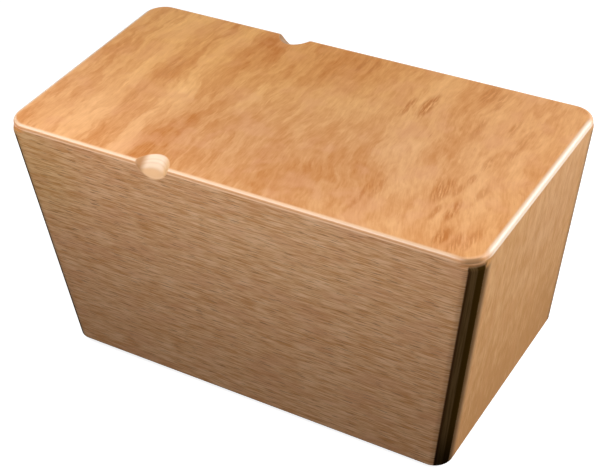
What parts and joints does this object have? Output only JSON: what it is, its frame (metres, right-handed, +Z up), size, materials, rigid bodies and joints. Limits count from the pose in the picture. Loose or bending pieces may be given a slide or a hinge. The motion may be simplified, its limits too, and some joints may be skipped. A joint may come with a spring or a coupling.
{
  "type": "bongo cajon",
  "caption": "Plywood box drum with a small and a large chamber under one playing board, slanted ends, scooped top edges and rubber feet.",
  "frame": {"origin": "on the ground, at the centre of the four feet", "axes": "+X along the length from the high chamber to the low one, -Y the front, +Z up out of the playing face"},
  "size_m": [0.399, 0.202, 0.2089],
  "materials": {
    "top_veneer": "honey-coloured veneer under satin varnish",
    "plywood": "tan veneered plywood under satin varnish, dark core plies at the edges",
    "softwood": "planed, unvarnished",
    "rubber": "matt",
    "steel": "zinc-plated"
  },
  "bodies": {
    "root": {"playing_board": "top_veneer", "front_board": "plywood", "rear_board": "plywood", "high_end_board": "plywood", "low_end_board": "plywood", "divider_board": "plywood", "bottom_board": "plywood", "front_high_corner_post": "softwood", "rear_high_corner_post": "softwood", "front_low_corner_post": "softwood", "rear_low_corner_post": "softwood", "front_high_lining": "softwood", "front_low_lining": "softwood", "rear_high_lining": "softwood", "rear_low_lining": "softwood", "high_end_lining": "softwood", "low_end_lining": "softwood", "front_high_cleat": "softwood", "front_low_cleat": "softwood", "rear_high_cleat": "softwood", "rear_low_cleat": "softwood", "high_end_cleat": "softwood", "low_end_cleat": "softwood", "bottom_screw_1": "steel", "bottom_screw_2": "steel", "bottom_screw_3": "steel", "bottom_screw_4": "steel", "bottom_screw_5": "steel", "bottom_screw_6": "steel", "bottom_screw_7": "steel", "bottom_screw_8": "steel", "bottom_screw_9": "steel", "bottom_screw_10": "steel", "foot_1": "rubber", "foot_2": "rubber", "foot_3": "rubber", "foot_4": "rubber", "foot_screw_1": "steel", "foot_screw_2": "steel", "foot_screw_3": "steel", "foot_screw_4": "steel"}
  },
  "joints": []
}
